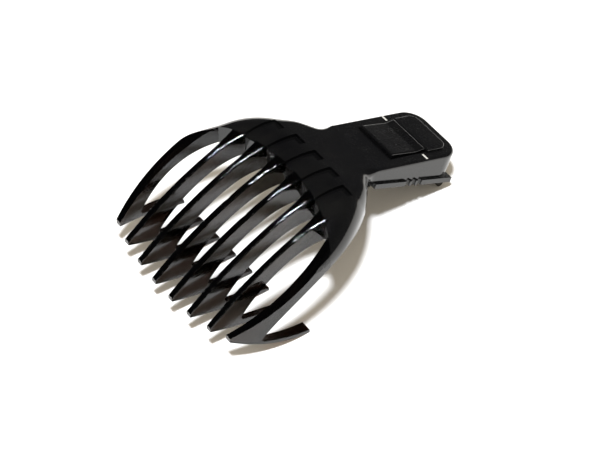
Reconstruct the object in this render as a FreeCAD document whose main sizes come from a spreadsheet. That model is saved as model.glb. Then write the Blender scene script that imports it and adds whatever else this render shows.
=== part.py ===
import FreeCAD, Part
import Sketcher
import math
import os

from FreeCAD import Placement, Rotation, Vector

# Guide comb of a hair clipper: eight parallel teeth under a domed shoulder, and a sloping tail that
# slides on the clipper's handle and is held there by a sprung rocker.  Millimetres.  +X runs from the
# tooth tips to the tail's end, +Y is across the comb, +Z is up.  Z = 0 is the table that the comb
# stands on, with its tooth heels and the lug at its tail's end.  The origin is under the middle of
# the bounding box.  Inside each sub-part, x is measured from the middle tips (comb side) or from the
# neck along the tail's top (tail side), and the Placement brings it into the common frame.

DOC = FreeCAD.newDocument("guide_comb")
TOOTH_COUNT = 8
CLEAR = 60.0                    # a cutter's reach past whatever it cuts

# ---------------------------------------------------------------- driving dimensions

SIZES = [
    ("overall_length", 73.2, "middle tips to the tail's end"),
    ("tooth_pitch", 6.0, "centre to centre of two inner teeth"),
    ("tooth_width", 1.4, "thickness of an inner tooth"),
    ("root_width", 3.2, "thickness of an inner tooth at its root"),
    ("root_flare", 8.0, "length over which a tooth widens to its root"),
    ("tooth_round", 0.4, "edge radius along the ridges"),
    ("tip_height", 5.9, "height of the middle tips' ridge above the table"),
    ("tip_depth", 1.2, "depth of the blunt tip"),
    ("tip_bow", 2.7, "how far the outer tips stand behind the middle ones"),
    ("tip_climb", 0.45, "rise of the ridge for each millimetre that a tip stands back"),
    ("crest_reach", 34.5, "middle tips to the crest of the crown"),
    ("crown_radius", 16.8, "radius of the crown"),
    ("ridge_slope", 15.0, "degrees of the ridge where it runs onto the crown"),
    ("arm_depth", 6.2, "depth of the teeth's upper arms at the crest"),
    ("arch_rise", 3.9, "rise of the arch under the upper arms"),
    ("fork_reach", 8.6, "middle tips to the fork between arm and foot"),
    ("fork_height", 4.1, "height of the fork above the table"),
    ("fork_radius", 0.8, "radius in the fork"),
    ("heel_reach", 20.6, "middle tips to the heels' ends"),
    ("heel_depth", 0.8, "depth of a foot at its heel"),
    ("sole_bow", 0.6, "bow of a foot's sole below its chord"),
    ("root_reach", 33.2, "middle tips to the root line, at the middle gap"),
    ("root_radius", 44.3, "radius of the root line"),
    ("outline_radius", 35.3, "radius of the comb's outer sides"),
    ("outline_reach", 17.9, "middle tips to the widest point"),
    ("half_width", 24.2, "half of the comb's greatest width"),
    ("outer_tip", 1.4, "thickness of an outer tooth at its tip"),
    ("outer_root", 3.4, "thickness of an outer tooth behind its root"),
    ("outer_bow", 4.2, "bow of an outer tooth's inner face"),
    ("flare_slope", 50.0, "degrees of the shoulder's flare towards the neck"),
    ("neck_radius", 3.5, "radius between flare and neck"),
    ("side_round", 0.9, "edge radius of the outer teeth, from their tips to the widest point"),
    ("dome_share", 0.8, "edge radius of the domed shoulder, as a share of the arms' depth"),
    ("flare_round", 2.6, "edge radius of the flare"),
    ("tail_round", 0.6, "edge radius of the tail's top"),
    ("wall", 1.8, "wall of the shoulder and the tail"),
    ("bar_length", 2.4, "length of the bar that ties the arms' roots"),
    ("rib_gap", 3.4, "width of a pocket between two ribs on the shoulder"),
    ("rib_length", 7.8, "length of those pockets"),
    ("rib_depth", 0.8, "depth of those pockets"),
    ("tail_slope", 21.0, "degrees that the tail falls towards its end"),
    ("tail_width", 16.8, "width of the tail"),
    ("tail_corner", 4.5, "corner radius of the tail's end"),
    ("neck_depth", 3.4, "depth of the tail at the neck"),
    ("end_depth", 6.15, "depth of the tail at its end"),
    ("base_depth", 1.2, "thickness of the slide base"),
    ("base_reach", 0.6, "how far the slide base's runners stand out from the tail"),
    ("base_inset", 1.0, "how far the slide base stops short of the tail's end"),
    ("lug_radius", 0.9, "radius of the rounded foot of the stop lug"),
    ("lug_drop", 1.5, "slide base's underside to the centre of that radius"),
    ("lug_width", 14.6, "width of the stop lug"),
    ("click_radius", 0.6, "radius of the click notches in the runners"),
    ("rocker_inset", 8.9, "tail's end to the rocker's rear edge"),
    ("rocker_length", 9.6, "length of the rocker"),
    ("rocker_width", 10.8, "width of the rocker"),
    ("panel_rim", 2.4, "tail's side and end to the raised panel behind the rocker"),
    ("panel_rise", 0.6, "height of that panel above the tail's top"),
    ("panel_round", 0.3, "edge radius of that panel"),
    ("rocker_rise", 0.9, "height of the thumb pad's front above the tail's top"),
    ("pad_fall", 0.5, "fall of the thumb pad from its front to its thumb stop"),
    ("rocker_depth", 1.6, "depth of the rocker's plate below the tail's top"),
    ("rocker_round", 0.35, "edge radius of the thumb pad"),
    ("rocker_gap", 0.45, "gap round the rocker"),
    ("ramp_length", 2.4, "length of the thumb stop, the slope at the rocker's rear"),
    ("pivot_reach", 3.8, "rocker's front edge to its pivot"),
    ("pivot_depth", 2.3, "tail's top to the pivot"),
    ("pin_radius", 0.8, "radius of the pivot pin"),
    ("pin_clearance", 0.05, "radial clearance of the rocker on its pin"),
    ("pin_bite", 0.9, "how far the pin reaches into the tail's walls"),
    ("cheek_wall", 1.3, "thickness of the rocker's cheeks"),
    ("cheek_round", 1.7, "radius of a cheek round the pin"),
    ("pawl_length", 1.4, "length of the pawl"),
    ("pawl_width", 5.0, "width of the pawl"),
    ("pawl_inset", 1.6, "rocker's rear edge to the middle of the pawl"),
    ("pawl_bite", 0.5, "how far the pawl stands out under the slide base"),
    ("window_gap", 1.0, "gap round the pawl in the slide base"),
    ("spring_wall", 0.3, "thickness of the leaf spring"),
    ("spring_width", 4.0, "width of the leaf spring"),
    ("spring_foot", 1.6, "length of the leaf spring's foot"),
    ("spring_lap", 0.4, "rocker's front edge to the leaf spring's free end"),
    ("spring_clearance", 0.15, "gap over the leaf spring at the rocker's full press"),
    ("press_drop", 0.75, "room kept under the rocker's front edge for its press"),
    ("mark_width", 0.5, "width of an index mark"),
    ("mark_length", 1.7, "length of an index mark"),
    ("mark_depth", 1.2, "depth of an index mark's slot below the tail's top"),
    ("mark_inset", 0.4, "tail's side to an index mark"),
    ("mark_reach", 10.0, "tail's end to the middle of an index mark"),
]

SHEET = DOC.addObject("Spreadsheet::Sheet", "sizes")
for row, (alias, number, note) in enumerate(SIZES, start=1):
    SHEET.set("A%d" % row, alias)
    SHEET.set("B%d" % row, str(number))
    SHEET.set("C%d" % row, note)
    SHEET.setAlias("B%d" % row, alias)
DOC.recompute()
LAYOUT = DOC.addObject("App::VarSet", "layout")


class Size:
    """A size as a number, for a first drawing, and as the expression that binds it to the sheet."""

    def __init__(self, number, text):
        self.number = number
        self.text = text

    def __add__(self, other):
        return Size(self.number + size(other).number, "(%s + %s)" % (self.text, size(other).text))

    def __sub__(self, other):
        return Size(self.number - size(other).number, "(%s - %s)" % (self.text, size(other).text))

    def __mul__(self, other):
        return Size(self.number * size(other).number, "(%s * %s)" % (self.text, size(other).text))

    def __truediv__(self, other):
        return Size(self.number / size(other).number, "(%s / %s)" % (self.text, size(other).text))

    def __neg__(self):
        return Size(-self.number, "(0 - %s)" % self.text)


def size(value):
    """A plain number or a Size, as a Size."""
    if isinstance(value, Size):
        return value
    return Size(float(value), "%.6f" % value)


def cell(alias):
    """One of the sheet's cells."""
    return Size(float(getattr(SHEET, alias)), "sizes.%s" % alias)


def sine(degrees):
    return Size(math.sin(math.radians(degrees.number)), "sin(%s * 1 deg)" % degrees.text)


def cosine(degrees):
    return Size(math.cos(math.radians(degrees.number)), "cos(%s * 1 deg)" % degrees.text)


def tangent(degrees):
    return Size(math.tan(math.radians(degrees.number)), "tan(%s * 1 deg)" % degrees.text)


def arc_tangent(slope):
    """The angle of a slope, in degrees."""
    return Size(math.degrees(math.atan(slope.number)), "(atan(%s) / 1 deg)" % slope.text)


def root(value):
    """A square root."""
    return Size(math.sqrt(value.number), "sqrt(%s)" % value.text)


def derive(name, value):
    """Keep a worked-out size in the layout set, bound to the sheet, and give it back by name."""
    LAYOUT.addProperty("App::PropertyFloat", name)
    setattr(LAYOUT, name, value.number)
    LAYOUT.setExpression(name, value.text)
    return Size(value.number, "layout.%s" % name)


S = {alias: cell(alias) for alias, number, note in SIZES}

# ---------------------------------------------------------------- worked-out places

SIN_TAIL = derive("sin_tail", sine(S["tail_slope"]))
COS_TAIL = derive("cos_tail", cosine(S["tail_slope"]))
SIN_FLARE = derive("sin_flare", sine(S["flare_slope"]))
COS_FLARE = derive("cos_flare", cosine(S["flare_slope"]))
TAIL_HALF = derive("tail_half", S["tail_width"] / 2)

# the bounding box runs from the middle tips, which the bow sets back a little, to the tail's rounded end
FIRST_RATIO = 1 / (TOOTH_COUNT - 1)
BOX_FRONT = derive("box_front", S["tip_bow"] * (FIRST_RATIO * FIRST_RATIO))
BOX_REAR = derive("box_rear", S["overall_length"] - S["tail_round"] * (COS_TAIL + SIN_TAIL - 1))
CENTRE_X = derive("centre_x", (BOX_FRONT + BOX_REAR) / 2)

# the comb's outer side in plan: one arc, then the straight flare, then the fillet into the neck
OUTLINE_Y = derive("outline_y", S["half_width"] - S["outline_radius"])
FLARE_X = derive("flare_x", S["outline_reach"] + S["outline_radius"] * SIN_FLARE)
FLARE_Y = derive("flare_y", OUTLINE_Y + S["outline_radius"] * COS_FLARE)
FILLET_Y = derive("fillet_y", TAIL_HALF + S["neck_radius"] * (size(1) - COS_FLARE))
FILLET_X = derive("fillet_x", FLARE_X + (FLARE_Y - FILLET_Y) * COS_FLARE / SIN_FLARE)
NECK_LINE = derive("neck_line", FILLET_X + S["neck_radius"] * SIN_FLARE)

# the tail starts behind that fillet, square to its own top
NECK_REACH = derive("neck_reach", NECK_LINE + S["neck_depth"] * SIN_TAIL)
TAIL_LENGTH = derive("tail_length", (S["overall_length"] - NECK_REACH) / COS_TAIL)
TAPER = derive("taper", (S["end_depth"] - S["neck_depth"]) / TAIL_LENGTH)
BASE_LENGTH = derive("base_length", TAIL_LENGTH - S["base_inset"])
LUG_REACH = derive("lug_reach", BASE_LENGTH - S["lug_radius"])
LUG_TOP = derive("lug_top", S["neck_depth"] + TAPER * LUG_REACH + S["base_depth"])
LUG_DEPTH = derive("lug_depth", LUG_TOP + S["lug_drop"])

# the lug stands on the table, which sets the height of the tail
END_HEIGHT = derive("end_height", LUG_DEPTH * COS_TAIL + S["lug_radius"]
                    - (TAIL_LENGTH - LUG_REACH) * SIN_TAIL)
NECK_HEIGHT = derive("neck_height", END_HEIGHT + TAIL_LENGTH * SIN_TAIL)
NECK_BOTTOM_X = derive("neck_bottom_x", NECK_REACH - S["neck_depth"] * SIN_TAIL)
NECK_BOTTOM_Z = derive("neck_bottom_z", NECK_HEIGHT - S["neck_depth"] * COS_TAIL)

# the crown is an arc that runs tangent into the tail's top
CROWN_Z = derive("crown_z", NECK_HEIGHT + (NECK_REACH - S["crest_reach"]) * SIN_TAIL / COS_TAIL
                 - S["crown_radius"] / COS_TAIL)
SIN_RIDGE = derive("sin_ridge", sine(S["ridge_slope"]))
COS_RIDGE = derive("cos_ridge", cosine(S["ridge_slope"]))
ROOT_BACK = derive("root_back", S["root_reach"] + S["bar_length"])
ROOT_BOTTOM = derive("root_bottom", CROWN_Z + S["crown_radius"] - S["arm_depth"])
DOME_ROUND = derive("dome_round", S["arm_depth"] * S["dome_share"])

ROCKER_REAR = derive("rocker_rear", TAIL_LENGTH - S["rocker_inset"])
ROCKER_FRONT = derive("rocker_front", ROCKER_REAR - S["rocker_length"])
PIVOT_X = derive("pivot_x", ROCKER_FRONT + S["pivot_reach"])
PAWL_X = derive("pawl_x", ROCKER_REAR - S["pawl_inset"])


def squared(value):
    return value * value


def tooth_offset(index):
    """Distance of a tooth from the centre plane, with tooth 1 on the +Y side."""
    return S["tooth_pitch"] * ((TOOTH_COUNT + 1) / 2 - index)


def root_line(offset):
    """Where the root line stands at a distance from the centre plane."""
    centre = S["root_reach"] - S["root_radius"]
    return centre + root(squared(S["root_radius"]) - squared(offset))


def outline_at(reach):
    """Half width of the comb at a distance from the middle tips."""
    return OUTLINE_Y + root(squared(S["outline_radius"]) - squared(reach - S["outline_reach"]))


# ---------------------------------------------------------------- sketches and features

class Corner:
    """A corner of an outline, and the bow of the edge that follows it: left of it is positive."""

    def __init__(self, across, along, bow=None):
        self.across = size(across)
        self.along = size(along)
        self.bow = bow

    def point(self):
        return Vector(self.across.number, self.along.number, 0)


def arc_radius(first, last):
    """Radius of the arc over the chord between two corners."""
    chord = squared(last.across - first.across) + squared(last.along - first.along)
    return (chord / 4 + squared(first.bow)) / (first.bow * 2)


def draw_loop(sketch, corners):
    """Draw one closed loop and bind every corner and every radius."""
    starts = []
    ends = []
    for number, corner in enumerate(corners):
        follower = corners[(number + 1) % len(corners)]
        first = corner.point()
        last = follower.point()
        if corner.bow is None:
            geometry = sketch.addGeometry(Part.LineSegment(first, last), False)
            starts.append((geometry, 1))
            ends.append((geometry, 2))
        else:
            chord = last - first
            left = Vector(-chord.y, chord.x, 0).normalize()
            middle = (first + last) * 0.5 + left * corner.bow.number
            # a sketch keeps its arcs anticlockwise, so one that bows to the left is drawn backwards
            forward = corner.bow.number < 0
            ends_of_arc = (first, last) if forward else (last, first)
            geometry = sketch.addGeometry(Part.Arc(ends_of_arc[0], middle, ends_of_arc[1]), False)
            starts.append((geometry, 1 if forward else 2))
            ends.append((geometry, 2 if forward else 1))
            radius = arc_radius(corner, follower)
            if radius.number < 0:
                radius = -radius
            bind(sketch, Sketcher.Constraint("Radius", geometry, radius.number), radius)
    for number, corner in enumerate(corners):
        sketch.addConstraint(Sketcher.Constraint("Coincident", *ends[number - 1], *starts[number]))
        across = Sketcher.Constraint("DistanceX", *starts[number], corner.across.number)
        along = Sketcher.Constraint("DistanceY", *starts[number], corner.along.number)
        bind(sketch, across, corner.across)
        bind(sketch, along, corner.along)


def bind(sketch, constraint, value):
    """Add a constraint that follows the sheet."""
    index = sketch.addConstraint(constraint)
    sketch.setExpression("Constraints[%d]" % index, value.text)


def add_sketch(body, name, role, loops, lift=None):
    """A sketch on one of the body's own origin planes, raised by an optional lift."""
    sketch = body.newObject("Sketcher::SketchObject", name)
    plane = [feature for feature in body.Origin.OriginFeatures if feature.Role == role][0]
    sketch.AttachmentSupport = [(plane, "")]
    sketch.MapMode = "FlatFace"
    if lift is not None:
        sketch.AttachmentOffset = Placement(Vector(0, 0, lift.number), Rotation())
        sketch.setExpression("AttachmentOffset.Base.z", lift.text)
    for corners in loops:
        draw_loop(sketch, corners)
    return sketch


def add_feature(body, kind, sketch, length, both_ways=True, flipped=False):
    """A Pad or Pocket of a sketch by a length, both ways from its plane or one way."""
    feature = body.newObject("PartDesign::%s" % kind, "%s_%s" % (sketch.Name, kind.lower()))
    feature.Profile = sketch
    feature.Length = length.number
    feature.setExpression("Length", length.text)
    feature.Midplane = both_ways
    feature.Reversed = flipped
    sketch.Visibility = False
    DOC.recompute()
    return feature


def round_edges(body, name, kind, radius, wanted):
    """A Fillet of the body's edges that a test picks."""
    base = body.Tip
    edges = ["Edge%d" % (number + 1) for number, edge in enumerate(base.Shape.Edges) if wanted(edge)]
    feature = body.newObject("PartDesign::%s" % kind, name)
    feature.Base = (base, edges)
    feature.Radius = radius.number
    feature.setExpression("Radius", radius.text)
    DOC.recompute()
    return feature


def add_circle(sketch, across, along, radius):
    """A bound circle in a sketch."""
    centre = Vector(across.number, along.number, 0)
    geometry = sketch.addGeometry(Part.Circle(centre, Vector(0, 0, 1), radius.number), False)
    bind(sketch, Sketcher.Constraint("Radius", geometry, radius.number), radius)
    bind(sketch, Sketcher.Constraint("DistanceX", geometry, 3, across.number), across)
    bind(sketch, Sketcher.Constraint("DistanceY", geometry, 3, along.number), along)


def minor_bow(first, last, radius):
    """Bow of the shorter arc of a radius between two points, each an (across, along) pair."""
    chord = squared(last[0] - first[0]) + squared(last[1] - first[1])
    return radius - root(squared(radius) - chord / 4)


def mirrored(corners):
    """The same loop on the other side of the centre plane."""
    return [Corner(c.across, -c.along, None if c.bow is None else -c.bow) for c in corners]


def place(item, across, offset, height, tilted=False):
    """Bring a sub-part into the common frame, its place bound to the sheet."""
    angle = S["tail_slope"] if tilted else size(0)
    base = Vector(across.number, offset.number, height.number)
    item.Placement = Placement(base, Rotation(Vector(0, 1, 0), angle.number))
    item.setExpression("Placement.Base.x", across.text)
    item.setExpression("Placement.Base.y", offset.text)
    item.setExpression("Placement.Base.z", height.text)
    if tilted:
        item.setExpression("Placement.Rotation.Angle", angle.text)


def place_comb(item, offset=None):
    """Place a piece that is drawn from the middle tips."""
    place(item, -CENTRE_X, size(0) if offset is None else offset, size(0))


def place_tail(item):
    """Place a piece that is drawn from the neck, along the tail's top."""
    place(item, NECK_REACH - CENTRE_X, size(0), NECK_HEIGHT, tilted=True)


def new_body(label):
    body = DOC.addObject("PartDesign::Body", label)
    body.Label = label
    return body


def boolean(kind, label, base, tools):
    """A Part::Cut or Part::Common of a base with one tool or with several."""
    if len(tools) == 1:
        tool = tools[0]
    else:
        tool = DOC.addObject("Part::MultiFuse", label + "_tools")
        tool.Shapes = tools
    result = DOC.addObject("Part::%s" % kind, label)
    result.Base = base
    result.Tool = tool
    result.Label = label
    DOC.recompute()
    return result


def crown_point(radius, sin_angle, cos_angle):
    """A point on an arc about the crown's centre."""
    return (S["crest_reach"] + radius * sin_angle, CROWN_Z + radius * cos_angle)


def underside(setback):
    """Corners of a tooth's underside, from its root under the arch to the fork, the heel and the tip."""
    tip_z = S["tip_height"] + setback * S["tip_climb"]
    return [
        Corner(ROOT_BACK, ROOT_BOTTOM, -S["arch_rise"]),
        Corner(S["fork_reach"], S["fork_height"]),
        Corner(S["heel_reach"], S["heel_depth"]),
        Corner(S["heel_reach"], 0, S["sole_bow"]),
        Corner(setback, tip_z - S["tip_depth"]),
    ]


def comb_profile(setback, rear):
    """Side outline of a tooth, from its blunt tip over the ridge and crown, and back along its foot.

    setback is how far its tip stands behind the middle ones, and rear holds the corners that close
    the outline behind the crown.
    """
    tip_z = S["tip_height"] + setback * S["tip_climb"]
    ridge_end = crown_point(S["crown_radius"], -SIN_RIDGE, COS_RIDGE)
    run = ridge_end[0] - setback
    rise = ridge_end[1] - tip_z
    chord = root(squared(run) + squared(rise))
    ridge_bow = chord / 2 * tangent((arc_tangent(rise / run) - S["ridge_slope"]) / 2)
    crown_bow = minor_bow(ridge_end, (rear[0].across, rear[0].along), S["crown_radius"])
    return [
        Corner(setback, tip_z, ridge_bow),
        Corner(ridge_end[0], ridge_end[1], crown_bow),
        *rear,
        *underside(setback),
    ]


def crown_layer(label, depth, limit):
    """A wide body bounded by the crown's surface at a depth, and by a far limit in height."""
    radius = S["crown_radius"] - depth
    front = crown_point(radius, -SIN_RIDGE, COS_RIDGE)
    back = crown_point(radius, SIN_TAIL, COS_TAIL)
    far_x = back[0] + COS_TAIL * CLEAR
    body = new_body(label)
    sketch = add_sketch(body, label + "_side", "XZ_Plane", [[
        Corner(front[0] - COS_RIDGE * S["root_reach"], front[1] - SIN_RIDGE * S["root_reach"]),
        Corner(front[0], front[1], minor_bow(front, back, radius)),
        Corner(back[0], back[1]),
        Corner(far_x, back[1] - SIN_TAIL * CLEAR),
        Corner(far_x, limit),
        Corner(front[0] - COS_RIDGE * S["root_reach"], limit),
    ]])
    add_feature(body, "Pad", sketch, size(CLEAR))
    place_comb(body)
    return body


def side_outline(inset):
    """Corners of the comb's outer side in plan, at an inset, from its widest point to past the neck."""
    radius = S["outline_radius"] - inset
    widest = (S["outline_reach"], OUTLINE_Y + radius)
    flare = (S["outline_reach"] + radius * SIN_FLARE, OUTLINE_Y + radius * COS_FLARE)
    fillet = (FILLET_X - inset * SIN_FLARE, FILLET_Y - inset * COS_FLARE)
    neck = (NECK_LINE, TAIL_HALF - inset)
    return [
        Corner(widest[0], widest[1], minor_bow(widest, flare, radius)),
        Corner(flare[0], flare[1]),
        Corner(fillet[0], fillet[1], -minor_bow(fillet, neck, S["neck_radius"] + inset)),
        Corner(neck[0], neck[1]),
        Corner(NECK_LINE + CLEAR, neck[1]),
    ]


# ---------------------------------------------------------------- the comb side

def root_drum(label, radius):
    """An upright drum whose wall is the root line."""
    drum = DOC.addObject("Part::Cylinder", label)
    drum.Radius = radius.number
    drum.setExpression("Radius", radius.text)
    drum.Height = CLEAR
    place(drum, S["root_reach"] - S["root_radius"] - CENTRE_X, size(0), size(-CLEAR / 4))
    return drum


def along_the_ridge(edge):
    """Whether an edge runs along a tooth's ridge, which bows up over its own chord."""
    middle = edge.valueAt((edge.FirstParameter + edge.LastParameter) / 2)
    end_x, end_z = crown_point(S["crown_radius"], -SIN_RIDGE, COS_RIDGE)
    slope = (end_z.number - S["tip_height"].number) / end_x.number
    chord_z = S["tip_height"].number + slope * min(middle.x, end_x.number)
    return edge.BoundBox.XLength > 0.3 and middle.z > chord_z - S["tip_depth"].number / 4


def in_the_fork(edge):
    """Whether an edge is the one in the fork between arm and foot."""
    box = edge.BoundBox
    near_x = abs(box.XMin - S["fork_reach"].number) < 1e-3 and box.XLength < 1e-3
    return near_x and abs(box.ZMin - S["fork_height"].number) < 1e-3


def make_inner_tooth(index, drum):
    """An inner tooth: thin, widening to its root, with a rounded ridge."""
    label = "tooth_%d" % index
    ratio = (TOOTH_COUNT + 1 - 2 * index) / (TOOTH_COUNT - 1)
    offset = tooth_offset(index)
    body = new_body(label + "_blank")
    crown_back = CROWN_Z + root(squared(S["crown_radius"]) - squared(ROOT_BACK - S["crest_reach"]))
    profile = comb_profile(S["tip_bow"] * (ratio * ratio), [Corner(ROOT_BACK, crown_back)])
    side = add_sketch(body, label + "_side", "XZ_Plane", [profile])
    add_feature(body, "Pad", side, size(CLEAR))
    start = root_line(offset) - S["root_flare"]
    half = S["tooth_width"] / 2
    widening = (S["root_width"] - S["tooth_width"]) / 2
    radius = (squared(S["root_flare"]) + squared(widening)) / (widening * 2)
    rear = ROOT_BACK + 1
    rear_half = half + radius - root(squared(radius) - squared(rear - start))
    waste = [
        Corner(-CLEAR, half),
        Corner(start, half, -minor_bow((start, half), (rear, rear_half), radius)),
        Corner(rear, rear_half),
        Corner(rear, CLEAR),
        Corner(-CLEAR, CLEAR),
    ]
    plan = add_sketch(body, label + "_plan", "XY_Plane", [waste, mirrored(waste)])
    add_feature(body, "Pocket", plan, size(2 * CLEAR))
    round_edges(body, label + "_fork", "Fillet", S["fork_radius"], in_the_fork)
    round_edges(body, label + "_ridge", "Fillet", S["tooth_round"], along_the_ridge)
    place_comb(body, offset)
    return boolean("Common", label, body, [drum])


def make_outer_tooth(index, drum, dome):
    """An outer tooth: a bowed blade with a straight ridge, which runs out on the domed shoulder."""
    label = "tooth_%d" % index
    body = new_body(label + "_blank")
    setback = S["tip_bow"]
    tip_z = S["tip_height"] + setback * S["tip_climb"]
    ridge_end = crown_point(S["crown_radius"], -SIN_RIDGE, COS_RIDGE)
    slope = (ridge_end[1] - tip_z) / (ridge_end[0] - setback)
    side = add_sketch(body, label + "_side", "XZ_Plane", [[
        Corner(setback, tip_z),
        Corner(ROOT_BACK, tip_z + (ROOT_BACK - setback) * slope),
        *underside(setback),
    ]])
    add_feature(body, "Pad", side, size(CLEAR))
    rear = ROOT_BACK + 1
    waste = [
        Corner(setback, outline_at(setback) - S["outer_tip"], S["outer_bow"]),
        Corner(rear, outline_at(rear) - S["outer_root"]),
        Corner(rear, -CLEAR),
        Corner(-CLEAR, -CLEAR),
        Corner(-CLEAR, outline_at(setback) - S["outer_tip"]),
    ]
    plan = add_sketch(body, label + "_plan", "XY_Plane", [waste if index == 1 else mirrored(waste)])
    add_feature(body, "Pocket", plan, size(2 * CLEAR))
    round_edges(body, label + "_fork", "Fillet", S["fork_radius"], in_the_fork)
    place_comb(body)
    blade = boolean("Common", label + "_blade", body, [dome])
    return boolean("Common", label, blade, [drum])


def make_dome():
    """The whole comb's outer form: its profile under its outline in plan, with domed sides."""
    body = new_body("comb_blank")
    crown_end = crown_point(S["crown_radius"], SIN_TAIL, COS_TAIL)
    profile = comb_profile(size(0), [
        Corner(crown_end[0], crown_end[1]),
        Corner(NECK_REACH, NECK_HEIGHT),
        Corner(NECK_BOTTOM_X, NECK_BOTTOM_Z),
    ])
    side = add_sketch(body, "comb_side", "XZ_Plane", [profile])
    add_feature(body, "Pad", side, size(CLEAR))
    tip = (size(0), outline_at(size(0)))
    widest = (S["outline_reach"], S["half_width"])
    waste = [
        Corner(tip[0], tip[1], minor_bow(tip, widest, S["outline_radius"])),
        *side_outline(size(0)),
        Corner(NECK_LINE + CLEAR, CLEAR),
        Corner(-CLEAR, CLEAR),
        Corner(-CLEAR, tip[1]),
    ]
    plan = add_sketch(body, "comb_plan", "XY_Plane", [waste, mirrored(waste)])
    pocket = add_feature(body, "Pocket", plan, size(2 * CLEAR))
    pocket.Refine = False
    DOC.recompute()
    round_edges(body, "comb_fork", "Fillet", S["fork_radius"], in_the_fork)
    place_comb(body)
    dome = DOC.addObject("Part::Fillet", "comb_dome")
    dome.Base = body
    dome.Edges = dome_edges(body.Shape)
    DOC.recompute()
    return dome


def dome_edges(shape):
    """The comb's upper side edges, each with its radius at its two ends."""
    stations = [
        (size(0), S["side_round"]),
        (S["outline_reach"], S["side_round"]),
        (crown_point(S["crown_radius"], -SIN_RIDGE, COS_RIDGE)[0], DOME_ROUND),
        (crown_point(S["crown_radius"], SIN_TAIL, COS_TAIL)[0], DOME_ROUND),
        (FLARE_X, S["flare_round"]),
        (FILLET_X, S["flare_round"]),
        (NECK_REACH, S["tail_round"]),
    ]
    picked = []
    for number, edge in enumerate(shape.Edges, start=1):
        middle = edge.valueAt((edge.FirstParameter + edge.LastParameter) / 2)
        reach = middle.x + CENTRE_X.number
        top = edge.BoundBox.XLength > 0.2 and abs(middle.y) > TAIL_HALF.number - 0.01
        if top and middle.z > top_height(reach) - 0.2 and abs(middle.y) < S["half_width"].number + 0.01:
            first = edge.valueAt(edge.FirstParameter).x + CENTRE_X.number
            last = edge.valueAt(edge.LastParameter).x + CENTRE_X.number
            if edge.Orientation == "Reversed":
                first, last = last, first
            picked.append((number, station_radius(stations, first), station_radius(stations, last)))
    return picked


def top_height(reach):
    """Height of the comb's top on the centre plane at a distance from the middle tips."""
    end_x, end_z = crown_point(S["crown_radius"], -SIN_RIDGE, COS_RIDGE)
    if reach < end_x.number:
        share = reach / end_x.number
        return S["tip_height"].number * (1 - share) + end_z.number * share
    back_x = crown_point(S["crown_radius"], SIN_TAIL, COS_TAIL)[0]
    if reach < back_x.number:
        return CROWN_Z.number + math.sqrt(S["crown_radius"].number ** 2
                                          - (reach - S["crest_reach"].number) ** 2)
    return NECK_HEIGHT.number + (NECK_REACH.number - reach) * SIN_TAIL.number / COS_TAIL.number


def station_radius(stations, reach):
    """Edge radius at a distance from the middle tips, even between two stations."""
    for (low, low_radius), (high, high_radius) in zip(stations, stations[1:]):
        if reach <= high.number + 1e-6:
            share = (reach - low.number) / (high.number - low.number)
            return low_radius.number * (1 - share) + high_radius.number * share
    return stations[-1][1].number


def make_rib_pockets():
    """Shallow pockets behind the inner gaps, which leave the inner teeth's ribs on the shoulder."""
    layer = crown_layer("rib_layer", S["rib_depth"], size(CLEAR))
    boxes = []
    for gap in range(2, TOOTH_COUNT - 1):
        offset = tooth_offset(gap + 0.5)
        rear = root_line(offset)
        box = DOC.addObject("Part::Box", "rib_box_%d" % gap)
        box.Length = 2 * S["rib_length"].number
        box.setExpression("Length", (S["rib_length"] * 2).text)
        box.Width = S["rib_gap"].number
        box.setExpression("Width", S["rib_gap"].text)
        box.Height = CLEAR
        place(box, rear - S["rib_length"] - CENTRE_X, offset - S["rib_gap"] / 2, size(0))
        boxes.append(box)
    return boolean("Common", "rib_pockets", layer, boxes)


def make_comb():
    """The teeth, the shoulder shell and the bar that ties the arms' roots."""
    drum = root_drum("root_drum", S["root_radius"])
    dome = make_dome()
    teeth = [make_outer_tooth(1, drum, dome)]
    teeth += [make_inner_tooth(index, drum) for index in range(2, TOOTH_COUNT)]
    teeth += [make_outer_tooth(TOOTH_COUNT, drum, dome)]
    under = crown_layer("under_crown", S["wall"], size(-CLEAR))
    hollow_plan = new_body("hollow_plan")
    half = side_outline(S["wall"])
    other = mirrored(half)
    other_side = []
    for number in range(len(other) - 1, -1, -1):
        bow = other[number - 1].bow if number > 0 else None
        other_side.append(Corner(other[number].across, other[number].along, negative(bow)))
    plan = add_sketch(hollow_plan, "hollow_outline", "XY_Plane", [half + other_side])
    add_feature(hollow_plan, "Pad", plan, size(2 * CLEAR))
    place_comb(hollow_plan)
    hollow = boolean("Common", "shoulder_hollow", under, [hollow_plan])
    pockets = make_rib_pockets()
    shell = boolean("Cut", "shoulder_shell", dome, [drum, hollow, pockets])
    wide_drum = root_drum("bar_drum", S["root_radius"] + S["bar_length"])
    inner = boolean("Common", "bar_room", dome, [hollow_plan])
    filled = boolean("Common", "bar_layer", inner, [under])
    blank = boolean("Common", "bar_blank", filled, [wide_drum])
    bar = boolean("Cut", "root_bar", blank, [drum])
    return teeth + [shell, bar]


def negative(bow):
    return None if bow is None else -bow


# ---------------------------------------------------------------- the tail side

def base_top(reach):
    """Depth of the slide base's upper face at a reach along the tail."""
    return S["neck_depth"] + TAPER * reach


def tail_outline(inset, front):
    """Corners of the tail in plan at an inset, open to the front."""
    half = TAIL_HALF - inset
    corner = S["tail_corner"] - inset
    rear = TAIL_LENGTH - inset
    bow = minor_bow((size(0), size(0)), (corner, corner), corner)
    return [
        Corner(front, -half),
        Corner(rear - corner, -half, -bow),
        Corner(rear, corner - half),
        Corner(rear, half - corner, -bow),
        Corner(rear - corner, half),
        Corner(front, half),
    ]


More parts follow.
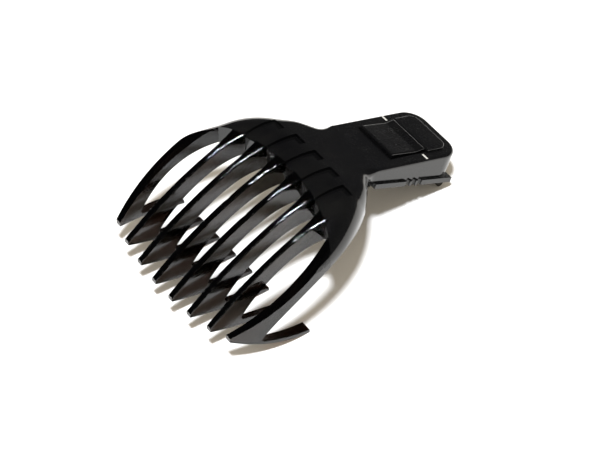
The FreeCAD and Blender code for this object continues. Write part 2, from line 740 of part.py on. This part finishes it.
def make_box(label, low, spans):
    """A box in the tail's own frame, as a body: low corner and spans along, across and up."""
    body = new_body(label)
    sketch = add_sketch(body, label + "_plan", "XY_Plane", [[
        Corner(low[0], low[1]),
        Corner(low[0] + spans[0], low[1]),
        Corner(low[0] + spans[0], low[1] + spans[1]),
        Corner(low[0], low[1] + spans[1]),
    ]], lift=low[2])
    add_feature(body, "Pad", sketch, spans[2], both_ways=False)
    place_tail(body)
    return body


def make_rod(label, radius, length):
    """A rod across the tail at the rocker's pivot."""
    body = new_body(label)
    sketch = add_sketch(body, label + "_side", "XZ_Plane", [])
    add_circle(sketch, PIVOT_X, -S["pivot_depth"], radius)
    add_feature(body, "Pad", sketch, length)
    place_tail(body)
    return body


def make_tail_block():
    """The tail before it is hollowed: rounded end, tapering depth and the panel behind the rocker."""
    body = new_body("tail_block")
    plan = add_sketch(body, "tail_plan", "XY_Plane", [tail_outline(size(0), size(0))])
    add_feature(body, "Pad", plan, S["end_depth"], both_ways=False, flipped=True)
    wedge = add_sketch(body, "tail_wedge", "XZ_Plane", [[
        Corner(0, -S["neck_depth"]),
        Corner(TAIL_LENGTH, -S["end_depth"]),
        Corner(TAIL_LENGTH, -S["end_depth"] * 2),
        Corner(0, -S["end_depth"] * 2),
    ]])
    add_feature(body, "Pocket", wedge, size(2 * CLEAR))

    def round_the_top(edge):
        box = edge.BoundBox
        return box.ZMin > -1e-6 and box.XMax > 1e-3

    round_edges(body, "tail_edge", "Fillet", S["tail_round"], round_the_top)
    panel = add_sketch(body, "tail_panel", "XY_Plane",
                       [tail_outline(S["panel_rim"], ROCKER_REAR + S["rocker_gap"])])
    add_feature(body, "Pad", panel, S["panel_rise"], both_ways=False)

    def round_the_panel(edge):
        return edge.BoundBox.ZMin > S["panel_rise"].number - 1e-6

    round_edges(body, "panel_edge", "Fillet", S["panel_round"], round_the_panel)
    place_tail(body)
    return body


def make_tail():
    """The tail's shell, with the rocker's window, the pin's holes and the index marks' slots."""
    block = make_tail_block()
    hollow = new_body("tail_hollow")
    plan = add_sketch(hollow, "tail_hollow_plan", "XY_Plane",
                      [tail_outline(S["wall"], -S["neck_depth"])], lift=-S["wall"])
    add_feature(hollow, "Pad", plan, S["end_depth"] * 2, both_ways=False, flipped=True)
    place_tail(hollow)
    gap = S["rocker_gap"]
    window = make_box("rocker_window",
                      (ROCKER_FRONT - gap, -S["rocker_width"] / 2 - gap, -S["wall"] * 2),
                      (S["rocker_length"] + gap * 2, S["rocker_width"] + gap * 2, S["wall"] * 3))
    pin_length = (TAIL_HALF - S["wall"] + S["pin_bite"]) * 2
    pin_room = make_rod("pin_room", S["pin_radius"], pin_length)
    pin = make_rod("pivot_pin", S["pin_radius"], pin_length)
    slots = []
    marks = []
    for side, sign in (("left", 1), ("right", -1)):
        inner = TAIL_HALF - S["mark_inset"] - S["mark_length"]
        low_y = inner if sign > 0 else -inner - S["mark_length"]
        box = make_box("mark_slot_" + side,
                       (TAIL_LENGTH - S["mark_reach"] - S["mark_width"] / 2, low_y, -S["mark_depth"]),
                       (S["mark_width"], S["mark_length"], S["mark_depth"] * 2))
        slots.append(box)
        marks.append(boolean("Common", "index_mark_" + side, box, [block]))
    shell = boolean("Cut", "tail_shell", block, [hollow, window, pin_room] + slots)
    return [shell, pin] + marks


def make_slide_base():
    """The plate under the tail, whose edges are the runners, with its stop lug and pawl window."""
    body = new_body("slide_base")
    width = S["tail_width"] + S["base_reach"] * 2
    rear_top = base_top(BASE_LENGTH)
    side = add_sketch(body, "base_side", "XZ_Plane", [[
        Corner(0, -S["neck_depth"]),
        Corner(BASE_LENGTH, -rear_top),
        Corner(BASE_LENGTH, -rear_top - S["base_depth"]),
        Corner(0, -S["neck_depth"] - S["base_depth"]),
    ]])
    add_feature(body, "Pad", side, width)
    lug = add_sketch(body, "base_lug", "XZ_Plane", [[
        Corner(LUG_REACH - S["lug_radius"], S["base_depth"] / 2 - LUG_TOP),
        Corner(LUG_REACH + S["lug_radius"], S["base_depth"] / 2 - LUG_TOP),
        Corner(LUG_REACH + S["lug_radius"], -LUG_DEPTH),
        Corner(LUG_REACH - S["lug_radius"], -LUG_DEPTH),
    ]])
    add_feature(body, "Pad", lug, S["lug_width"])
    lug_end = add_sketch(body, "base_lug_end", "XZ_Plane", [])
    add_circle(lug_end, LUG_REACH, -LUG_DEPTH, S["lug_radius"])
    add_feature(body, "Pad", lug_end, S["lug_width"])
    window = add_sketch(body, "base_window", "XY_Plane", [[
        Corner(PAWL_X - S["pawl_length"] / 2 - S["window_gap"] / 2, -S["pawl_width"] / 2 - S["rocker_gap"]),
        Corner(PAWL_X + S["pawl_length"] / 2 + S["window_gap"], -S["pawl_width"] / 2 - S["rocker_gap"]),
        Corner(PAWL_X + S["pawl_length"] / 2 + S["window_gap"], S["pawl_width"] / 2 + S["rocker_gap"]),
        Corner(PAWL_X - S["pawl_length"] / 2 - S["window_gap"] / 2, S["pawl_width"] / 2 + S["rocker_gap"]),
    ]])
    add_feature(body, "Pocket", window, size(2 * CLEAR))
    clicks = add_sketch(body, "base_clicks", "XY_Plane", [])
    for step in (-1, 0, 1):
        for sign in (-1, 1):
            add_circle(clicks, BASE_LENGTH / 2 + S["click_radius"] * (3 * step), width / 2 * sign,
                       S["click_radius"])
    add_feature(body, "Pocket", clicks, size(2 * CLEAR))
    place_tail(body)
    return body


def make_rocker():
    """The release rocker: thumb plate, two cheeks bored for the pin, and the pawl."""
    body = new_body("release_rocker")
    top = S["rocker_rise"]
    bottom = -S["rocker_depth"]
    plate = add_sketch(body, "rocker_plate", "XZ_Plane", [[
        Corner(ROCKER_FRONT, top),
        Corner(ROCKER_REAR - S["ramp_length"], top - S["pad_fall"]),
        Corner(ROCKER_REAR, top),
        Corner(ROCKER_REAR, bottom),
        Corner(ROCKER_FRONT, bottom),
    ]])
    add_feature(body, "Pad", plate, S["rocker_width"])

    def round_the_pad(edge):
        return edge.BoundBox.ZMin > 1e-6 and edge.BoundBox.XLength + edge.BoundBox.YLength > 2

    round_edges(body, "rocker_edge", "Fillet", S["rocker_round"], round_the_pad)
    inside = bottom / 2
    cheek = add_sketch(body, "rocker_cheek", "XZ_Plane", [[
        Corner(PIVOT_X - S["cheek_round"], inside),
        Corner(PIVOT_X + S["cheek_round"], inside),
        Corner(PIVOT_X + S["cheek_round"], -S["pivot_depth"]),
        Corner(PIVOT_X - S["cheek_round"], -S["pivot_depth"]),
    ]])
    add_feature(body, "Pad", cheek, S["rocker_width"])
    boss = add_sketch(body, "rocker_boss", "XZ_Plane", [])
    add_circle(boss, PIVOT_X, -S["pivot_depth"], S["cheek_round"])
    add_feature(body, "Pad", boss, S["rocker_width"])
    room = add_sketch(body, "rocker_room", "XZ_Plane", [[
        Corner(PIVOT_X - S["cheek_round"] * 2, bottom),
        Corner(PIVOT_X + S["cheek_round"] * 2, bottom),
        Corner(PIVOT_X + S["cheek_round"] * 2, bottom - S["end_depth"]),
        Corner(PIVOT_X - S["cheek_round"] * 2, bottom - S["end_depth"]),
    ]])
    add_feature(body, "Pocket", room, S["rocker_width"] - S["cheek_wall"] * 2)
    pawl_end = base_top(PAWL_X) + S["base_depth"] + S["pawl_bite"]
    pawl = add_sketch(body, "rocker_pawl", "XZ_Plane", [[
        Corner(PAWL_X - S["pawl_length"] / 2, inside),
        Corner(PAWL_X + S["pawl_length"] / 2, inside),
        Corner(PAWL_X + S["pawl_length"] / 2, S["pawl_bite"] - pawl_end),
        Corner(PAWL_X - S["pawl_length"] / 2, -pawl_end),
    ]])
    add_feature(body, "Pad", pawl, S["pawl_width"])
    bore = add_sketch(body, "rocker_bore", "XZ_Plane", [])
    add_circle(bore, PIVOT_X, -S["pivot_depth"], S["pin_radius"] + S["pin_clearance"])
    add_feature(body, "Pocket", bore, S["rocker_width"] * 2)
    place_tail(body)
    return body


def make_spring():
    """The leaf spring from under the pin to the rocker's front, drawn as it is at full press."""
    body = new_body("leaf_spring")
    free_end = ROCKER_FRONT + S["spring_lap"]
    bend = PIVOT_X - S["spring_foot"] / 2
    foot_end = PIVOT_X + S["spring_foot"] / 2
    free_top = -S["rocker_depth"] - S["press_drop"] - S["spring_clearance"]
    side = add_sketch(body, "spring_side", "XZ_Plane", [[
        Corner(foot_end, -base_top(foot_end)),
        Corner(bend, -base_top(bend)),
        Corner(free_end, free_top - S["spring_wall"]),
        Corner(free_end, free_top),
        Corner(bend, S["spring_wall"] - base_top(bend)),
        Corner(foot_end, S["spring_wall"] - base_top(foot_end)),
    ]])
    add_feature(body, "Pad", side, S["spring_width"])
    place_tail(body)
    return body


# ---------------------------------------------------------------- build, check and write

NODES = make_comb() + make_tail() + [make_slide_base(), make_rocker(), make_spring()]
DOC.recompute()

for item in DOC.Objects:
    if "Invalid" in item.State or "Error" in item.State:
        raise RuntimeError("%s is not valid: %s" % (item.Label, item.State))

os.makedirs("parts", exist_ok=True)
for node in NODES:
    if node.Shape.isNull() or not node.Shape.isValid() or node.Shape.Volume <= 0:
        raise RuntimeError("%s has no valid shape" % node.Label)
    node.Shape.exportStep(os.path.join("parts", node.Label + ".step"))
    print("%-18s %8.1f mm3" % (node.Label, node.Shape.Volume))
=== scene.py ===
"""Looks of a hair clipper's guide comb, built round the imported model.

The comb is a polished smoked moulding with eight V-shaped teeth under a domed satin shoulder, and a
sloping tail with a sprung release rocker.  Lengths are in metres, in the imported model's own frame:
+X runs from the tooth tips to the tail's end, +Y is across the comb and +Z is up.
"""

import logging
import math
from dataclasses import dataclass, field
from enum import Enum
from typing import Optional

import bmesh
import bpy
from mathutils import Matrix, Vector


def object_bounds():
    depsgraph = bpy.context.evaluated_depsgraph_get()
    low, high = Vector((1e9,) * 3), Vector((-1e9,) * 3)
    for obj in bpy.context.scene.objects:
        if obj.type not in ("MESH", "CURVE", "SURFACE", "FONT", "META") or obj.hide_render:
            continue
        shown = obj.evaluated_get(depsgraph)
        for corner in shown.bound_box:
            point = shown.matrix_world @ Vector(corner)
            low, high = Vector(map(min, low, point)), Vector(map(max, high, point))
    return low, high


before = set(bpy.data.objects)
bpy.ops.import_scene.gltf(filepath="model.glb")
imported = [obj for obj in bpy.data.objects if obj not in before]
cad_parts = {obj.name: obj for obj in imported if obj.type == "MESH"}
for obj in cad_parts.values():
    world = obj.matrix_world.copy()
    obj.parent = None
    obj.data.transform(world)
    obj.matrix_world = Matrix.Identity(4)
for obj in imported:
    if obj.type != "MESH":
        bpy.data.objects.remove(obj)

CAD_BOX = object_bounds()
MM = 0.001

Colour = tuple[float, float, float]
Place = tuple[float, float, float]

log = logging.getLogger("guide_comb")


class Join(Enum):
    """How two shader values are joined."""

    ADD = "ADD"
    MULTIPLY = "MULTIPLY"
    MAXIMUM = "MAXIMUM"


# ---------------------------------------------------------------- shader building


class ShaderSheet:
    """A material's node tree with short calls for the nodes that the finishes share."""

    def __init__(self, name: str) -> None:
        """Start an empty node tree.

        Args:
            name: the material's name.
        """
        self.material = bpy.data.materials.new(name)
        self.material.use_nodes = True
        self.tree = self.material.node_tree
        self.tree.nodes.clear()
        self.output = self.tree.nodes.new("ShaderNodeOutputMaterial")
        self.place = self.tree.nodes.new("ShaderNodeTexCoord").outputs["Object"]

    def node(self, kind: str, **values: object) -> bpy.types.Node:
        """Add a node and set plain values on its sockets.

        Args:
            kind: the node's type, without its ShaderNode prefix.
            values: socket names, with underscores for spaces, and their values.

        Returns:
            The new node.
        """
        made = self.tree.nodes.new("ShaderNode" + kind)
        for key, value in values.items():
            made.inputs[key.replace("_", " ")].default_value = value
        return made

    def join(self, source: bpy.types.NodeSocket, target: bpy.types.NodeSocket) -> None:
        """Link two sockets."""
        self.tree.links.new(source, target)

    def stretched(self, scale: Place, turn: Place = (0.0, 0.0, 0.0)) -> bpy.types.NodeSocket:
        """Object coordinates, turned and scaled.

        Args:
            scale: scale along each axis.
            turn: turn about each axis, in radians.

        Returns:
            The mapped coordinates.
        """
        mapping = self.node("Mapping", Scale=scale, Rotation=turn)
        self.join(self.place, mapping.inputs["Vector"])
        return mapping.outputs["Vector"]

    def noise(self, scale: float, detail: float = 4.0, rough: float = 0.5,
              place: Optional[bpy.types.NodeSocket] = None) -> bpy.types.NodeSocket:
        """A noise pattern.

        Args:
            scale: how many features there are in a metre.
            detail: how many octaves it has.
            rough: how strong the fine octaves are.
            place: the coordinates it reads, or None for the object's own.

        Returns:
            The pattern's value.
        """
        made = self.node("TexNoise", Scale=scale, Detail=detail, Roughness=rough)
        self.join(place or self.place, made.inputs["Vector"])
        return made.outputs["Fac"]

    def span(self, value: bpy.types.NodeSocket, low: float, high: float, to_low: float,
             to_high: float) -> bpy.types.NodeSocket:
        """Map a value from one range to another, and keep it inside.

        Args:
            value: what to map.
            low: start of the range that it comes from.
            high: end of that range.
            to_low: what the start becomes.
            to_high: what the end becomes.

        Returns:
            The mapped value.
        """
        made = self.tree.nodes.new("ShaderNodeMapRange")
        for key, number in (("From Min", low), ("From Max", high), ("To Min", to_low), ("To Max", to_high)):
            made.inputs[key].default_value = number
        self.join(value, made.inputs["Value"])
        return made.outputs["Result"]

    def blend(self, share: bpy.types.NodeSocket, first: object, second: object) -> bpy.types.NodeSocket:
        """Mix two colours, each a colour or a socket.

        Args:
            share: how much of the second there is.
            first: the colour at no share.
            second: the colour at full share.

        Returns:
            The mixed colour.
        """
        made = self.tree.nodes.new("ShaderNodeMix")
        made.data_type = "RGBA"
        self.join(share, made.inputs["Factor"])
        for socket, colour in ((made.inputs[6], first), (made.inputs[7], second)):
            if isinstance(colour, bpy.types.NodeSocket):
                self.join(colour, socket)
            else:
                socket.default_value = (*colour, 1.0)
        return made.outputs[2]

    def sum(self, kind: Join, first: bpy.types.NodeSocket, second: object) -> bpy.types.NodeSocket:
        """Join two values into one.

        Args:
            kind: how they are joined.
            first: the first value.
            second: the second one, a number or a socket.

        Returns:
            The result.
        """
        made = self.tree.nodes.new("ShaderNodeMath")
        made.operation = kind.value
        self.join(first, made.inputs[0])
        if isinstance(second, bpy.types.NodeSocket):
            self.join(second, made.inputs[1])
        else:
            made.inputs[1].default_value = second
        return made.outputs[0]

    def hairlines(self, scale: float, width: float) -> bpy.types.NodeSocket:
        """Fine scratches in two directions.

        Args:
            scale: how close the scratches lie.
            width: how wide they are, as a share of their spacing.

        Returns:
            1 on a scratch and 0 between them.
        """
        middle, thinness = 0.5, 14.0
        ways = ((0.2, 0.3, 0.5), (0.2, 0.3, -0.9))
        marks = []
        for way in ways:
            cells = self.noise(scale, 2.0, 0.6, self.stretched((1.0, thinness, thinness), way))
            falling = self.span(cells, middle + width, middle + width * 2, 1.0, 0.0)
            rising = self.span(cells, middle - width, middle, 0.0, 1.0)
            marks.append(self.sum(Join.MULTIPLY, falling, rising))
        return self.sum(Join.MAXIMUM, marks[0], marks[1])

    def bump(self, height: bpy.types.NodeSocket, strength: float, distance: float) -> bpy.types.NodeSocket:
        """A bump from a height.

        Args:
            height: the height pattern.
            strength: how strong the bump is.
            distance: its depth in metres.

        Returns:
            The bumped normal.
        """
        made = self.node("Bump", Strength=strength, Distance=distance)
        self.join(height, made.inputs["Height"])
        return made.outputs["Normal"]


@dataclass(frozen=True)
class SmokedPlastic:
    """Polished see-through plastic, which darkens with its depth."""

    name: str = "smoked_gloss"
    face: Colour = (0.30, 0.245, 0.22)
    cloud: Colour = (0.22, 0.18, 0.16)
    depth_tint: Colour = (0.30, 0.20, 0.14)
    density: float = 3000.0
    shade: Colour = (0.34, 0.28, 0.22)
    clearest: float = 0.02
    dullest: float = 0.07
    index: float = 1.5
    cloud_scale: float = 70.0
    handling_scale: float = 420.0
    scratch_scale: float = 260.0
    scratch_width: float = 0.012
    scratch_dulling: float = 0.06
    scratch_relief: float = -0.2
    flow_scale: float = 220.0
    flow_strength: float = 0.12
    flow_depth: float = 0.03 * MM

    def material(self) -> bpy.types.Material:
        """Build the finish.

        Returns:
            The material.
        """
        sheet = ShaderSheet(self.name)
        body = sheet.node("BsdfPrincipled", IOR=self.index, Transmission_Weight=1.0)
        clouds = sheet.noise(self.cloud_scale, 1.5)
        colour = sheet.blend(sheet.span(clouds, 0.35, 0.7, 0.0, 1.0), self.face, self.cloud)
        sheet.join(colour, body.inputs["Base Color"])
        handled = sheet.noise(self.handling_scale, 5.0, 0.6)
        rough = sheet.span(handled, 0.4, 0.75, self.clearest, self.dullest)
        scratches = sheet.hairlines(self.scratch_scale, self.scratch_width)
        dulled = sheet.sum(Join.MULTIPLY, scratches, self.scratch_dulling)
        sheet.join(sheet.sum(Join.ADD, rough, dulled), body.inputs["Roughness"])
        cut = sheet.sum(Join.MULTIPLY, scratches, self.scratch_relief)
        flow = sheet.sum(Join.ADD, sheet.noise(self.flow_scale, 2.0), cut)
        sheet.join(sheet.bump(flow, self.flow_strength, self.flow_depth), body.inputs["Normal"])
        clear = sheet.node("BsdfTransparent", Color=(*self.shade, 1.0))
        path = sheet.tree.nodes.new("ShaderNodeLightPath")
        both = sheet.tree.nodes.new("ShaderNodeMixShader")
        sheet.join(path.outputs["Is Shadow Ray"], both.inputs[0])
        sheet.join(body.outputs[0], both.inputs[1])
        sheet.join(clear.outputs[0], both.inputs[2])
        sheet.join(both.outputs[0], sheet.output.inputs["Surface"])
        inside = sheet.node("VolumeAbsorption", Color=(*self.depth_tint, 1.0), Density=self.density)
        sheet.join(inside.outputs[0], sheet.output.inputs["Volume"])
        return sheet.material


@dataclass(frozen=True)
class SatinPlastic:
    """Black moulding with a fine spark-eroded grain, polished where thumbs rub it."""

    name: str = "satin_black"
    face: Colour = (0.0025, 0.0025, 0.0028)
    worn: Colour = (0.005, 0.005, 0.0048)
    smoothest: float = 0.12
    roughest: float = 0.19
    grain: float = 0.08
    coat: float = 0.15
    coat_rough: float = 0.12
    rubbed_scale: float = 90.0
    dulling_scale: float = 300.0
    scratch_scale: float = 180.0
    scratch_width: float = 0.01
    scratch_dulling: float = 0.12
    scratch_relief: float = -0.5
    grain_scale: float = 6500.0
    grain_depth: float = 0.02 * MM

    def material(self) -> bpy.types.Material:
        """Build the finish.

        Returns:
            The material.
        """
        sheet = ShaderSheet(self.name)
        body = sheet.node("BsdfPrincipled", IOR=1.5, Coat_Weight=self.coat, Coat_Roughness=self.coat_rough)
        rubbed = sheet.noise(self.rubbed_scale, 4.0, 0.6)
        colour = sheet.blend(sheet.span(rubbed, 0.4, 0.7, 0.0, 1.0), self.face, self.worn)
        sheet.join(colour, body.inputs["Base Color"])
        scratches = sheet.hairlines(self.scratch_scale, self.scratch_width)
        dullness = sheet.noise(self.dulling_scale, 5.0, 0.6)
        rough = sheet.span(dullness, 0.35, 0.7, self.smoothest, self.roughest)
        dulled = sheet.sum(Join.MULTIPLY, scratches, self.scratch_dulling)
        sheet.join(sheet.sum(Join.ADD, rough, dulled), body.inputs["Roughness"])
        cut = sheet.sum(Join.MULTIPLY, scratches, self.scratch_relief)
        height = sheet.sum(Join.ADD, sheet.noise(self.grain_scale, 2.0, 0.5), cut)
        sheet.join(sheet.bump(height, self.grain, self.grain_depth), body.inputs["Normal"])
        sheet.join(body.outputs[0], sheet.output.inputs["Surface"])
        return sheet.material


@dataclass(frozen=True)
class SpringSteel:
    """Drawn steel with fine lines along its length."""

    name: str = "spring_steel"
    face: Colour = (0.56, 0.56, 0.55)
    dark: Colour = (0.40, 0.39, 0.38)
    line_scale: float = 900.0
    line_stretch: Place = (8.0, 0.5, 8.0)
    smoothest: float = 0.22
    roughest: float = 0.4
    line_depth: float = 0.01 * MM

    def material(self) -> bpy.types.Material:
        """Build the finish.

        Returns:
            The material.
        """
        sheet = ShaderSheet(self.name)
        body = sheet.node("BsdfPrincipled", Metallic=1.0)
        lines = sheet.noise(self.line_scale, 4.0, 0.6, sheet.stretched(self.line_stretch))
        sheet.join(sheet.blend(lines, self.face, self.dark), body.inputs["Base Color"])
        sheet.join(sheet.span(lines, 0.3, 0.7, self.smoothest, self.roughest), body.inputs["Roughness"])
        sheet.join(sheet.bump(lines, 0.2, self.line_depth), body.inputs["Normal"])
        sheet.join(body.outputs[0], sheet.output.inputs["Surface"])
        return sheet.material


@dataclass(frozen=True)
class MarkingInk:
    """White filling of the index marks, a little rubbed."""

    name: str = "index_white"
    face: Colour = (0.50, 0.50, 0.48)
    soiled: Colour = (0.28, 0.27, 0.25)
    spot_scale: float = 2600.0
    spot_depth: float = 0.02 * MM

    def material(self) -> bpy.types.Material:
        """Build the finish.

        Returns:
            The material.
        """
        sheet = ShaderSheet(self.name)
        body = sheet.node("BsdfPrincipled")
        spots = sheet.noise(self.spot_scale, 4.0, 0.6)
        share = sheet.span(spots, 0.5, 0.75, 0.0, 1.0)
        sheet.join(sheet.blend(share, self.face, self.soiled), body.inputs["Base Color"])
        sheet.join(sheet.span(spots, 0.3, 0.7, 0.45, 0.7), body.inputs["Roughness"])
        sheet.join(sheet.bump(spots, 0.3, self.spot_depth), body.inputs["Normal"])
        sheet.join(body.outputs[0], sheet.output.inputs["Surface"])
        return sheet.material


@dataclass(frozen=True)
class TableTop:
    """Plain pale table."""

    name: str = "table_white"
    face: Colour = (0.86, 0.86, 0.865)

    def material(self) -> bpy.types.Material:
        """Build the finish.

        Returns:
            The material.
        """
        sheet = ShaderSheet(self.name)
        body = sheet.node("BsdfPrincipled", Roughness=0.7, Specular_IOR_Level=0.2)
        body.inputs["Base Color"].default_value = (*self.face, 1.0)
        sheet.join(body.outputs[0], sheet.output.inputs["Surface"])
        return sheet.material


# ---------------------------------------------------------------- sub-assemblies


def dress(node: str, finish: bpy.types.Material) -> None:
    """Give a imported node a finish.

    Args:
        node: the node's name.
        finish: its material.
    """
    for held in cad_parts[node].material_slots:
        held.material = finish
    log.info("dressed %s with %s", node, finish.name)


@dataclass
class Teeth:
    """The eight smoked teeth."""

    count: int = 8
    finish: SmokedPlastic = field(default_factory=SmokedPlastic)

    def build(self) -> None:
        """Dress every tooth."""
        material = self.finish.material()
        for index in range(1, self.count + 1):
            dress("tooth_%d" % index, material)


@dataclass
class Shoulder:
    """The domed shoulder and the bar under it."""

    finish: SatinPlastic = field(default_factory=lambda: SatinPlastic(
        name="shoulder_black", smoothest=0.06, roughest=0.11, grain=0.04))

    def build(self) -> None:
        """Dress the shoulder and its bar."""
        material = self.finish.material()
        dress("shoulder_shell", material)
        dress("root_bar", material)


@dataclass
class Tail:
    """The sloping tail with its slide base, rocker, pin, spring and index marks."""

    shell: SatinPlastic = field(default_factory=lambda: SatinPlastic(name="tail_black"))
    rocker: SatinPlastic = field(default_factory=lambda: SatinPlastic(name="rocker_black"))
    steel: SpringSteel = field(default_factory=SpringSteel)
    ink: MarkingInk = field(default_factory=MarkingInk)

    def build(self) -> None:
        """Dress the tail's nodes."""
        shell = self.shell.material()
        dress("tail_shell", shell)
        dress("slide_base", shell)
        dress("release_rocker", self.rocker.material())
        steel = self.steel.material()
        dress("pivot_pin", steel)
        dress("leaf_spring", steel)
        ink = self.ink.material()
        dress("index_mark_left", ink)
        dress("index_mark_right", ink)


@dataclass(frozen=True)
class Lamp:
    """A round lamp above the comb, turned to its middle."""

    name: str
    way: Place
    size: float
    power: float
    colour: Colour
    distance: float = 0.9
    glint_only: bool = False

    def hang(self) -> None:
        """Hang the lamp.  One that is for glints alone shows in gloss and lights nothing else."""
        light = bpy.data.lights.new(self.name, "AREA")
        light.shape = "DISK"
        light.size = self.size
        light.energy = self.power
        light.color = self.colour
        holder = bpy.data.objects.new(self.name, light)
        bpy.context.collection.objects.link(holder)
        way = Vector(self.way).normalized()
        holder.location = way * self.distance
        holder.rotation_mode = "QUATERNION"
        holder.rotation_quaternion = way.to_track_quat("Z", "Y")
        holder.visible_diffuse = not self.glint_only
        log.info("hung %s", self.name)


@dataclass
class Studio:
    """The pale table, the light and the camera."""

    table_reach: float = 3.0
    azimuth: float = -36.4
    elevation: float = 47.5
    distance: float = 0.643
    lens: float = 180.0
    target: Vector = field(default_factory=lambda: Vector((-0.7, 0.0, 2.0)) * MM)
    lamps: tuple[Lamp, ...] = (
        Lamp("key_lamp", way=(-0.20, -0.20, 1.0), size=0.13, power=12.5, colour=(0.95, 0.975, 1.0)),
        Lamp("glint_lamp", way=(-0.19, 0.07, 0.98), size=0.05, power=3.0, colour=(1.0, 1.0, 1.0),
             glint_only=True),
    )
    zenith: Colour = (0.03, 0.03, 0.032)
    horizon: Colour = (0.07, 0.07, 0.072)
    fill: Colour = (0.60, 0.53, 0.42)
    sky_start: float = 0.1
    sky_end: float = 0.6
    nearest: float = 0.01
    farthest: float = 20.0

    def build(self) -> None:
        """Set out the table, the lamps, the sky and the camera."""
        self.lay_table()
        for lamp in self.lamps:
            lamp.hang()
        self.paint_sky()
        self.point_camera()

    def lay_table(self) -> None:
        """A flat table under the comb."""
        work = bmesh.new()
        bmesh.ops.create_grid(work, x_segments=1, y_segments=1, size=self.table_reach)
        bmesh.ops.translate(work, verts=work.verts, vec=(0.0, 0.0, CAD_BOX[0].z))
        mesh = bpy.data.meshes.new("table")
        work.to_mesh(mesh)
        work.free()
        table = bpy.data.objects.new("table", mesh)
        bpy.context.collection.objects.link(table)
        table.data.materials.append(TableTop().material())
        log.info("laid the table")

    def paint_sky(self) -> None:
        """A dark room for gloss and an even warm fill for the rest, shown in plain colours."""
        world = bpy.data.worlds.new("studio")
        bpy.context.scene.world = world
        world.use_nodes = True
        nodes, links = world.node_tree.nodes, world.node_tree.links
        way = nodes.new("ShaderNodeTexCoord").outputs["Generated"]
        parts = nodes.new("ShaderNodeSeparateXYZ")
        links.new(way, parts.inputs[0])
        sky = nodes.new("ShaderNodeMix")
        sky.data_type = "RGBA"
        sky.inputs[6].default_value = (*self.horizon, 1.0)
        sky.inputs[7].default_value = (*self.zenith, 1.0)
        rise = nodes.new("ShaderNodeMapRange")
        rise.inputs["From Min"].default_value = self.sky_start
        rise.inputs["From Max"].default_value = self.sky_end
        links.new(parts.outputs["Z"], rise.inputs["Value"])
        links.new(rise.outputs["Result"], sky.inputs["Factor"])
        light = nodes.new("ShaderNodeMix")
        light.data_type = "RGBA"
        light.inputs[7].default_value = (*self.fill, 1.0)
        links.new(nodes.new("ShaderNodeLightPath").outputs["Is Diffuse Ray"], light.inputs["Factor"])
        links.new(sky.outputs[2], light.inputs[6])
        links.new(light.outputs[2], nodes["Background"].inputs["Color"])
        bpy.context.scene.view_settings.view_transform = "Standard"

    def point_camera(self) -> None:
        """The camera, level and looking down on the comb from its near front."""
        turn = math.radians(self.azimuth)
        lift = math.radians(self.elevation)
        back = Vector((math.sin(turn) * math.cos(lift), -math.cos(turn) * math.cos(lift), math.sin(lift)))
        data = bpy.data.cameras.new("camera")
        data.lens = self.lens
        data.clip_start = self.nearest
        data.clip_end = self.farthest
        camera = bpy.data.objects.new("camera", data)
        bpy.context.collection.objects.link(camera)
        camera.location = self.target + back * self.distance
        camera.rotation_mode = "QUATERNION"
        camera.rotation_quaternion = (-back).to_track_quat("-Z", "Y")
        bpy.context.scene.camera = camera


def main() -> None:
    """Build each sub-assembly in order and report its pieces."""
    logging.basicConfig(level=logging.INFO, format="%(name)s: %(message)s")
    Teeth().build()
    Shoulder().build()
    Tail().build()
    Studio().build()


if __name__ == "__main__":
    main()
